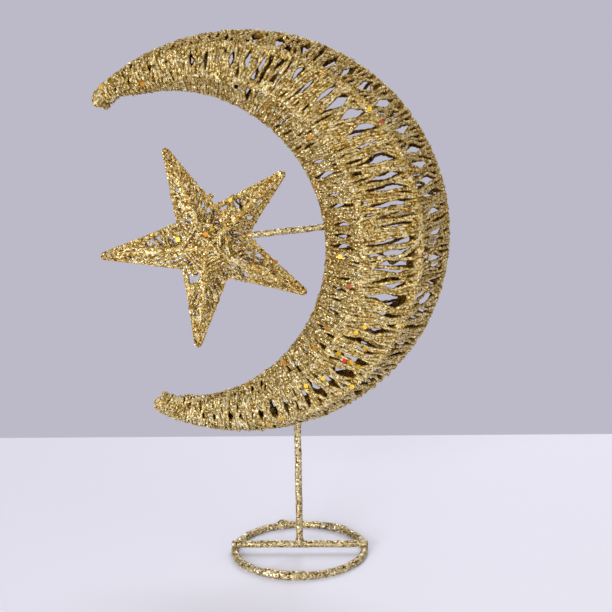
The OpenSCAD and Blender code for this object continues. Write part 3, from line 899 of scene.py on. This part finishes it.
def web_tree():
    """A lumpy sheet that wavers with the thread it hangs between, with round holes where asked."""
    tree, given = new_tree(
        "glue_web", Int="Level", Float="Seed", Vector="Hole Lean", Material="Material",
        Distance="Hole Size, Hole Spacing, Waver, Waver Size, Lumps, Lump Size, Sink",
    )
    welded = add(
        tree, "GeometryNodeMergeByDistance",
        {"Geometry": given["Geometry"], "Distance": WEB_WELD * MM},
    ).outputs["Geometry"]
    fine = add(tree, "GeometryNodeSubdivideMesh", {"Mesh": welded, "Level": given["Level"]})
    # The holes run straight through front and back, along the lean for each metre of depth.
    spot = add(tree, "GeometryNodeInputPosition").outputs["Position"]
    depth = add(tree, "ShaderNodeSeparateXYZ", {"Vector": spot}).outputs["Y"]
    flat = vector_node(tree, "SUBTRACT", spot, scaled(tree, given["Hole Lean"], depth))
    spacing = given["Hole Spacing"]
    cells = add(
        tree, "ShaderNodeTexVoronoi",
        {"Vector": flat, "Scale": math_node(tree, "DIVIDE", 1.0, spacing)},
    ).outputs
    chance = add(tree, "FunctionNodeSeparateColor", {"Color": cells["Color"]}).outputs["Red"]
    hole = add(
        tree, "FunctionNodeCompare",
        {
            0: math_node(tree, "MULTIPLY", cells["Distance"], spacing),
            1: math_node(tree, "MULTIPLY", chance, given["Hole Size"]),
        },
        data_type="FLOAT", operation="LESS_THAN",
    ).outputs["Result"]
    pierced = add(
        tree, "GeometryNodeDeleteGeometry",
        {"Geometry": fine.outputs["Mesh"], "Selection": hole}, domain="FACE",
    ).outputs["Geometry"]
    lumps = about_zero(tree, noise(tree, given, "Lump Size", 2.0)["Fac"], given["Lumps"])
    push = outward(tree, math_node(tree, "SUBTRACT", lumps, given["Sink"]))
    shift = vector_node(tree, "ADD", waver(tree, given), push)
    return close_tree(tree, given, moved(tree, pierced, shift))


glue_web = web_tree()
for part, spans in (("front", (0, 1, 2)), ("back", (3, 4, 5))):
    name = "crescent_web_" + part
    wound("crescent_winding", grown(
        name, web_mesh(name, spans), glue_web,
        level=1, hole_size=0.0, hole_spacing=5, waver=1.0, waver_size=4, lumps=2.4, lump_size=1.5,
        sink=WEB_SINK, seed=5.0, material=coated_thread,
    ))


# Crust: glue and glitter caked along each of the six wires, where all the strands of thread
# cross it, so that the wires stand out as unbroken ridges under the thread.
CRUST_D = 5.9
RIM_CRUST_D = 5.2
CRUST_END_TURN = 109.0
CRUST_STEP_TURN = 1.5

crust_turns = steps(-CRUST_END_TURN, CRUST_END_TURN, round(2 * CRUST_END_TURN / CRUST_STEP_TURN))
for part, chosen, thickness in (("rims", (0, 3), RIM_CRUST_D), ("rails", (1, 2, 4, 5), CRUST_D)):
    name = "crescent_crust_" + part
    lines = [[in_crescent(*six_wires(turn)[k], turn) for turn in crust_turns] for k in chosen]
    wound("crescent_winding", grown(
        name, path_mesh(name, lines), glittered_thread,
        thickness=thickness, step=0.9, sides=12, waver=1.0, waver_size=5, lumps=2.6, lump_size=1.5,
        seed=6.0, material=coated_thread,
    ))


# Horn ends: past the place where the inner rim meets it, the outer rim runs on alone and is
# wound with thread into a blunt end, thick with glue and glitter.
HORN_D = 9.8
HORN_FIRST_TURN = 110.5
HORN_LAST_TURN = 119.3
HORN_STEPS = 16
HORN_RAISE = 1.0
HORN_ROUND_FROM = 0.62
HORN_END_SWELL = 0.22


def horn_end(name, side, seed):
    """One wound end: the upper one for side 1 and the lower one for side -1."""
    path, swell = [], []
    for i in range(HORN_STEPS + 1):
        share = i / HORN_STEPS
        turn = HORN_FIRST_TURN + (HORN_LAST_TURN - HORN_FIRST_TURN) * share
        path.append(in_crescent(outer_reach(turn) + HORN_RAISE, 0, side * turn))
        past = max(0.0, (share - HORN_ROUND_FROM) / (1 - HORN_ROUND_FROM))
        swell.append(max(math.sqrt(max(1 - past**2, 0)), HORN_END_SWELL))
    piece = wrap(
        name + "_wound", [path], swell,
        thickness=HORN_D, step=0.5, sides=36, wrap_pitch=1.9, ridge_height=0.3,
        crumple=2.6, crumple_size=1.7, seed=seed, material=coated_thread,
    )
    return settle(piece, "glitter_wire", name)


upper_horn = horn_end("upper_horn_cap", 1, 21.0)
lower_horn = horn_end("lower_horn_cap", -1, 22.0)


# Star frame: a flat five-pointed outline of bent wire, with a ridge from each point to a peak
# in front and another to a peak behind, soldered at the points and dipped in gold glitter.
STAR_MIDDLE = Vector((-49.511, 0, 193.1))
STAR_POINT_R = 61.0
STAR_VALLEY_R = 21.0
STAR_PEAK = 18.0
STAR_TURN = 43.3
POINT_STEP_TURN = 72
REACH_SHARES = (0.965, 0.97, 1.045, 1.01, 1.02)
POINT_TURNS = (-0.6, -1.2, -1, 2.2, 0.3)
VALLEY_TURNS = (4, 2, -4, -1, 0)
STAR_WIRE_R = 1.1
coat("star_outline", "star_front_ridges", "star_back_ridges")


def star_peak(side):
    """The peak in front for side -1 and the one behind for side 1."""
    return STAR_MIDDLE + Vector((0, side * STAR_PEAK, 0))


def star_point(k):
    k %= 5
    turn = STAR_TURN + POINT_STEP_TURN * k + POINT_TURNS[k]
    return about(STAR_MIDDLE, STAR_POINT_R * REACH_SHARES[k], turn)


def star_valley(k):
    k %= 5
    turn = STAR_TURN + POINT_STEP_TURN * (k - 0.5) + VALLEY_TURNS[k]
    return about(STAR_MIDDLE, STAR_VALLEY_R, turn)


# Star thread: the same glittered thread, wound round the two legs and two ridges of each point
# from its tip to the middle, and back again with long steps that lace over the first layer.
STAR_THREAD_D = 1.3
STAR_LOOPS, LOOP_SWING = 9, 0.1
STAR_LACES, LACE_SWING = 5, 0.2
# Loops as shares of the way from tip to middle: where they start, how they crowd and scatter.
TIP_SHARE = 0.2
CROWDING = 0.92
SHARE_SCATTER = 0.02
SHARE_LIMITS = (0.16, 0.97)
SWING_HOLD = 1.3
SWING_AT_TIP = 0.3
# How far out the thread lies: sunk into the tip's glue, and less so from the tip inwards.
STAR_SINK = 1.1
STAR_HOLD = STAR_WIRE_R + STAR_THREAD_D / 2 - STAR_SINK
STAR_HOLD_RISE = (0.9, 0.1, 0.4)
STAR_LAYERS = (-0.2, 0.3)
SHORT_RUN = 0.2
# Rings of thread round each peak, which round the star's middle off.
DOME_RINGS = 7
DOME_FIRST_R, DOME_LAST_R = 2, 15.0
DOME_SCATTER = 1.1
DOME_LAYERS = (0.2, 0.8)
DOME_LAST_SHARE = 0.98
# Painted light: the star's glitter has the thread's tones made paler by this share, as its faces
# catch more of the lamps.
STAR_PAINTED_LIGHT = 1.13


def star_strand(k, loops, swing_size, generator):
    """The path of the thread round one point of the star, from its tip to the star's middle."""
    tip = star_point(k)
    corners = (star_peak(-1), star_valley(k + 1), star_peak(1), star_valley(k))
    swings = [drift(generator, loops, SWING_HOLD) for _ in corners]
    axis = (STAR_MIDDLE - tip).normalized()
    across = axis.cross(Vector((0, 1, 0))).normalized()
    path = []
    for loop in range(loops):
        spots, holds = [], []
        for i, (corner, swing) in enumerate(zip(corners, swings)):
            share = TIP_SHARE + (1 - TIP_SHARE) * ((loop + i / 4) / loops) ** CROWDING
            swung = swing[loop] * swing_size * (SWING_AT_TIP + share)
            share = clamp(share + (swung + generator.gauss(0, SHARE_SCATTER)), *SHARE_LIMITS)
            spots.append(tip.lerp(corner, share))
            holds.append(STAR_HOLD + grows(STAR_HOLD_RISE, share))
        flat = [Vector(((spot - tip).dot(across), -spot.y)) for spot in spots]
        middle = (flat[0] + flat[2]) / 2
        for i, spot in enumerate(spots):
            hold = holds[i] + generator.uniform(*STAR_LAYERS)
            for a, b in ((i - 1, i), (i, (i + 1) % 4)):
                run = flat[b] - flat[a]
                if run.length < SHORT_RUN:
                    continue
                out = Vector((run.y, -run.x)).normalized()
                if out.dot(flat[i] - middle) < 0:
                    out = -out
                path.append(spot + (across * out.x - Vector((0, out.y, 0))) * hold)
    return path


def dome_ring(reach, side, generator):
    """A ring of thread over the five ridges near one of the star's peaks."""
    ring = []
    for k in range(5):
        length = (star_point(k) - STAR_MIDDLE).length
        share = 1 - (reach + generator.gauss(0, DOME_SCATTER)) / length
        spot = star_point(k).lerp(star_peak(side), min(share, DOME_LAST_SHARE))
        lift = side * (STAR_WIRE_R + generator.uniform(*DOME_LAYERS))
        ring.append(spot + Vector((0, lift, 0)))
    return [*ring, ring[0]]


# The star's glitter: the thread's tones made paler, as painted light on faces that catch more of
# the lamps.
coated_star = glitter(
    "gold_glitter_star",
    [(stop, [min(c * STAR_PAINTED_LIGHT, 255) for c in colour]) for stop, colour in THREAD_TONES],
    grain=0.95, patch=0.2, own=0.9, **THREAD_FINISH,
)
star_dice = random.Random(5)
star_strands = [star_strand(k, STAR_LOOPS, LOOP_SWING, star_dice) for k in range(5)]
star_strands += [star_strand(k, STAR_LACES, LACE_SWING, star_dice)[::-1] for k in range(5)]
star_strands += [
    dome_ring(reach, side, star_dice)
    for side in (-1, 1) for reach in steps(DOME_FIRST_R, DOME_LAST_R, DOME_RINGS - 1)
]
wound("star_winding", grown(
    "star_thread", path_mesh("star_thread", star_strands), glittered_thread,
    thickness=STAR_THREAD_D, step=1.0, sides=7, waver=3.2, waver_size=5, lumps=1.6, lump_size=1.2,
    seed=9.0, material=coated_star,
))


# Star web: films of glue and glitter that closed most of the star's faces, full of small holes,
# which run straight through from the front faces to the back ones.
STAR_HOLE_D = 7.4
STAR_HOLE_SPACING = 4.0
STAR_WEB_LIFT = 0.9

web_corners = []
for k in range(5):
    for valley in (star_valley(k), star_valley(k + 1)):
        for side in (-1, 1):
            corners = [star_point(k), valley, star_peak(side)]
            if (corners[1] - corners[0]).cross(corners[2] - corners[0]).y * side < 0:
                corners.reverse()
            web_corners += [corner * MM for corner in corners]
web_faces = [(i, i + 1, i + 2) for i in range(0, len(web_corners), 3)]
star_sight = STAR_MIDDLE - EYE_MM
wound("star_winding", grown(
    "star_web", faced_mesh("star_web", web_corners, web_faces), glue_web,
    level=6, hole_size=STAR_HOLE_D / 2, hole_spacing=STAR_HOLE_SPACING,
    hole_lean=star_sight / star_sight.y, waver=1.4, waver_size=5, lumps=2.2, lump_size=1.4,
    sink=-STAR_WEB_LIFT, seed=8.0, material=coated_star,
))


# Star crust: glitter caked along the star's outline and its ridges, which draws their straight
# lines on the faces between them, and a small knot of it where the thread's end was glued down.
STAR_CRUST_D = 3.3
STAR_CRUST_STEPS = 16
CRUST_FIRST_SHARE, CRUST_LAST_SHARE = 0.1, 0.98
CRUST_TIP_SWELL = 0.4
CRUST_FULL_SHARE = 0.36
KNOT_D = 3.4
KNOT_STEPS = 6
KNOT_BLUNT = 0.06
KNOT_PLACE = (1.5, -1.0, 27.7)

crust_shares = steps(CRUST_FIRST_SHARE, CRUST_LAST_SHARE, STAR_CRUST_STEPS)
crust_growth = (1 - CRUST_TIP_SWELL, CRUST_FIRST_SHARE, CRUST_FULL_SHARE)
crust_lines, crust_swells = [], []
for k in range(5):
    for end in (star_valley(k), star_valley(k + 1), star_peak(-1), star_peak(1)):
        crust_lines.append([star_point(k).lerp(end, share) for share in crust_shares])
        crust_swells += [CRUST_TIP_SWELL + grows(crust_growth, share) for share in crust_shares]
knot = STAR_MIDDLE + Vector(KNOT_PLACE)
knot_shares = steps(-1, 1, KNOT_STEPS)
crust_lines.append([knot + Vector((0, 0, KNOT_D * share / 2)) for share in knot_shares])
crust_swells += [
    KNOT_D / STAR_CRUST_D * math.sqrt(max(1 - share**2, KNOT_BLUNT)) for share in knot_shares
]
wound("star_winding", wrap(
    "star_crust", crust_lines, crust_swells,
    thickness=STAR_CRUST_D, step=0.8, sides=12, wrap_pitch=3, ridge_height=0.0,
    crumple=1.3, crumple_size=1.3, seed=10.0, material=coated_star,
))


# Star arm: a straight rod wrapped in film, which holds the star by one of its valleys and is
# welded to the inside of the crescent's inner rim.
ARM_D = 3.8
ARM_RIM_TURN = 7.4
ARM_INTO_STAR = 1.5
ARM_FROM_RIM = 0.6

inner_rim_middle = about(CRESCENT_MIDDLE, -HALF_OFFSET, CRESCENT_TURN)
arm_root = about(inner_rim_middle, INNER_RIM_R, ARM_RIM_TURN)
arm_run = (arm_root - star_valley(0)).normalized()
film_rod(
    "star_arm",
    *rod_path(star_valley(0) - arm_run * ARM_INTO_STAR, arm_root - arm_run * ARM_FROM_RIM),
    thickness=ARM_D, wrap_pitch=22, ridge_height=0.3, crumple=0.85, seed=4.0,
)


# Sequins: small six-sided spangles of coloured foil, shaken into the glitter while the glue was
# wet, so that they lie on the thread wherever they fell.
SEQUIN_D = 3.1
SEQUIN_THICK = 0.12
SEQUIN_LIFT = 0.55
SEQUIN_TILT = 0.16
SEQUIN_LIES_FLAT = 0.25
YELLOW, GOLD, ORANGE, OLIVE, RED, PINK = 0.08, 0.25, 0.42, 0.58, 0.75, 0.92
SEQUIN_TONES = (
    (0.00, (216, 180, 66)),
    (0.17, (188, 146, 44)),
    (0.34, (168, 110, 34)),
    (0.50, (116, 92, 28)),
    (0.67, (168, 26, 28)),
    (0.84, (140, 68, 38)),
)
# Places are in pixels of the view, across and down, each with its foil.
FRONT_SEQUINS = (
    (364.6, 326.9, YELLOW), (355.9, 332.6, YELLOW), (364.6, 349.0, GOLD), (351.2, 362.0, GOLD),
    (358.2, 367.0, GOLD), (323.3, 378.2, YELLOW), (306.3, 385.8, YELLOW), (352.1, 386.5, YELLOW),
    (281.3, 418.6, GOLD), (269.2, 424.6, GOLD), (389.4, 280.0, GOLD), (369.3, 108.7, YELLOW),
    (231.0, 200.3, YELLOW), (339.8, 256.5, YELLOW), (101.0, 87.0, GOLD), (212.0, 228.6, YELLOW),
    (178.0, 239.5, YELLOW), (163.6, 402.4, GOLD), (338.5, 353.7, GOLD), (327.1, 328.2, ORANGE),
    (315.0, 348.3, ORANGE), (284.2, 363.0, ORANGE), (248.4, 385.0, ORANGE), (265.5, 105.6, ORANGE),
    (310.4, 136.9, ORANGE), (314.4, 186.2, ORANGE), (275.6, 262.5, ORANGE), (206.0, 234.3, ORANGE),
    (142.5, 83.8, ORANGE), (196.1, 273.8, ORANGE), (218.5, 285.7, ORANGE), (197.5, 242.7, OLIVE),
    (401.4, 104.5, OLIVE), (111.3, 82.0, OLIVE), (344.1, 360.4, RED), (381.3, 122.5, PINK),
    (389.8, 183.7, PINK), (349.9, 286.2, PINK),
)
# Sequins at the back lie between these turns and shares of the crescent's width.
BACK_SEQUIN_COUNT = 44
BACK_TURNS = (-105, 105)
BACK_SHARES = (0.05, 0.95)
BACK_FOILS = (YELLOW, YELLOW, GOLD, GOLD, ORANGE, ORANGE, OLIVE, RED)
BEHIND_ALL = 90

foil = bpy.data.materials.new("sequin_foil")
foil_tree = bare_tree(foil)
foil_tone = add(foil_tree, "ShaderNodeAttribute", attribute_name="tone").outputs["Fac"]
foil_ramp = toned(foil_tree, foil_tone, SEQUIN_TONES)
foil_ramp.color_ramp.interpolation = "CONSTANT"
foil_place = add(foil_tree, "ShaderNodeTexCoord").outputs["Object"]
foil_dust = add(
    foil_tree, "ShaderNodeTexNoise", {"Vector": foil_place, "Scale": 900.0, "Detail": 2.0},
).outputs["Fac"]
foil_colour = add(
    foil_tree, "ShaderNodeHueSaturation",
    {
        "Color": foil_ramp.outputs["Color"],
        "Value": ranged(foil_tree, foil_dust, (0.3, 0.7), (0.75, 1.12)),
    },
)
foil_shader = add(
    foil_tree, "ShaderNodeBsdfPrincipled",
    {
        "Base Color": foil_colour.outputs["Color"], "Metallic": 0.3, "Specular IOR Level": 0.1,
        "Roughness": ranged(foil_tree, foil_dust, (0.0, 1.0), (0.35, 0.6)),
    },
)
add(foil_tree, "ShaderNodeOutputMaterial", {"Surface": foil_shader.outputs["BSDF"]})


def sequin_tree():
    """A foil hexagon on each point, facing the way that the point says."""
    tree, given = new_tree("scattered_sequins", Distance="Width, Thickness", Material="Material")
    radius = math_node(tree, "MULTIPLY", given["Width"], 0.5)
    spangle = add(
        tree, "GeometryNodeMeshCylinder",
        {"Vertices": 6, "Radius": radius, "Depth": given["Thickness"]},
    )
    facing = carried(tree, "facing", "FLOAT_VECTOR")
    turned = add(tree, "FunctionNodeAlignRotationToVector", {"Vector": facing}, axis="Z")
    points = add(tree, "GeometryNodeMeshToPoints", {"Mesh": given["Geometry"]})
    scattered = add(
        tree, "GeometryNodeInstanceOnPoints",
        {
            "Points": points.outputs["Points"], "Instance": spangle.outputs["Mesh"],
            "Rotation": turned.outputs["Rotation"],
        },
    )
    return close_tree(tree, given, scattered.outputs["Instances"], smooth=False)


def surface_of(pieces):
    """One search tree over the faces of several pieces."""
    corners, faces = [], []
    for piece in pieces:
        first = len(corners)
        corners += [vertex.co.copy() for vertex in piece.data.vertices]
        faces += [[first + v for v in polygon.vertices] for polygon in piece.data.polygons]
    return BVHTree.FromPolygons(corners, faces)


thread_surface = surface_of(thread_pieces + [upper_horn, lower_horn])
sequin_dice = random.Random(3)
sequin_points, sequin_facings, sequin_tones = [], [], []


def drop_sequin(start, direction, tone):
    """Lays a sequin where a ray meets the thread, turned a little from facing the ray."""
    place, normal, _, _ = thread_surface.ray_cast(start, direction)
    if place is None:
        return
    loose = Vector([sequin_dice.gauss(0, SEQUIN_TILT) for _ in range(3)])
    facing = (-direction + normal * SEQUIN_LIES_FLAT + loose).normalized()
    sequin_points.append((place + facing * SEQUIN_LIFT * MM) / MM)
    sequin_facings.extend(facing)
    sequin_tones.append(tone)


for across, down, tone in FRONT_SEQUINS:
    right, below = across - PICTURE_WIDTH / 2, down - PICTURE_WIDTH / 2
    ray = view_forward * LENS_PIXELS + view_right * right - view_up * below
    drop_sequin(EYE, ray.normalized(), tone)
for _ in range(BACK_SEQUIN_COUNT):
    turn = sequin_dice.uniform(*BACK_TURNS)
    inner, outer = inner_reach(abs(turn)), outer_reach(abs(turn))
    reach = inner + (outer - inner) * sequin_dice.uniform(*BACK_SHARES)
    start = in_crescent(reach, BEHIND_ALL, turn) * MM
    drop_sequin(start, Vector((0, -1, 0)), sequin_dice.choice(BACK_FOILS))
sequin_mesh = path_mesh("sequins", [[point] for point in sequin_points], tone=sequin_tones)
facings = sequin_mesh.attributes.new("facing", "FLOAT_VECTOR", "POINT")
facings.data.foreach_set("vector", sequin_facings)
sequins = grown(
    "sequins", sequin_mesh, sequin_tree(), width=SEQUIN_D, thickness=SEQUIN_THICK, material=foil,
)
settle(sequins, "glitter_thread")


# Floor and light: a pale table with a plain pale wall behind it, a soft lamp in front on the
# left, a weaker and warmer one on the right, and one from behind. Sizes here are in metres.
FLOOR_HALF = 4.0
TABLE_EDGE_Y = 0.238
TABLE_COLOUR = (229, 233, 254)
WALL_COLOUR = (188, 186, 200)
ROOM_COLOUR = (250, 231, 198)


def background_rays(tree):
    """1 for what the camera sees, straight or in a gloss or a glass, and 0 for light on things."""
    rays = add(tree, "ShaderNodeLightPath").outputs
    indirect = math_node(tree, "MAXIMUM", rays["Is Glossy Ray"], rays["Is Transmission Ray"])
    return math_node(tree, "MAXIMUM", rays["Is Camera Ray"], indirect)


floor = bpy.data.objects.new("floor", faced_mesh(
    "floor",
    [(x * FLOOR_HALF, y * FLOOR_HALF, 0) for x, y in ((-1, -1), (1, -1), (1, 1), (-1, 1))],
    [(0, 1, 2, 3)],
))
scene.collection.objects.link(floor)
floor_material = bpy.data.materials.new("pale_table")
floor_tree = bare_tree(floor_material)
floor_place = add(floor_tree, "ShaderNodeTexCoord").outputs["Object"]
floor_y = add(floor_tree, "ShaderNodeSeparateXYZ", {"Vector": floor_place}).outputs["Y"]
beyond = math_node(floor_tree, "GREATER_THAN", floor_y, TABLE_EDGE_Y)
table_shader = add(
    floor_tree, "ShaderNodeBsdfPrincipled",
    {
        "Base Color": linear(*TABLE_COLOUR), "Roughness": 0.6,
        "Emission Color": (0.25, 0.45, 1.0, 1.0), "Emission Strength": 0.1,
    },
)
wall_shader = add(floor_tree, "ShaderNodeEmission", {"Color": linear(*WALL_COLOUR)})
floor_mix = add(
    floor_tree, "ShaderNodeMixShader",
    {
        0: math_node(floor_tree, "MULTIPLY", beyond, background_rays(floor_tree)),
        1: table_shader.outputs["BSDF"], 2: wall_shader.outputs["Emission"],
    },
)
add(floor_tree, "ShaderNodeOutputMaterial", {"Surface": floor_mix.outputs["Shader"]})
floor.data.materials.append(floor_material)

scene.world = bpy.data.worlds.new("room_light")
world_tree = bare_tree(scene.world)
room, wall = (
    add(world_tree, "ShaderNodeBackground", {"Color": linear(*colour), "Strength": strength})
    for colour, strength in ((ROOM_COLOUR, 0.5), (WALL_COLOUR, 1.0))
)
world_mix = add(
    world_tree, "ShaderNodeMixShader",
    {0: background_rays(world_tree), 1: room.outputs[0], 2: wall.outputs[0]},
)
add(world_tree, "ShaderNodeOutputWorld", {"Surface": world_mix.outputs["Shader"]})


def lamp(name, place, aim, size, watts, colour):
    light = bpy.data.lights.new(name, "AREA")
    light.shape = "SQUARE"
    light.size = size
    light.energy = watts
    light.color = colour
    source = bpy.data.objects.new(name, light)
    source.location = place
    source.rotation_euler = (Vector(aim) - Vector(place)).to_track_quat("-Z", "Y").to_euler()
    scene.collection.objects.link(source)


lamp("key_lamp", (-0.7, -1.75, 0.5), (0, 0, 0.15), 0.8, 33.5, (1.0, 0.99, 0.98))
lamp("fill_lamp", (1.6, -1.0, 0.35), (0, 0, 0.15), 0.3, 4.0, (1.0, 0.92, 0.78))
lamp("back_lamp", (0.4, 1.4, 1.3), (0, 0, 0.18), 1.2, 15, (0.96, 0.98, 1.0))
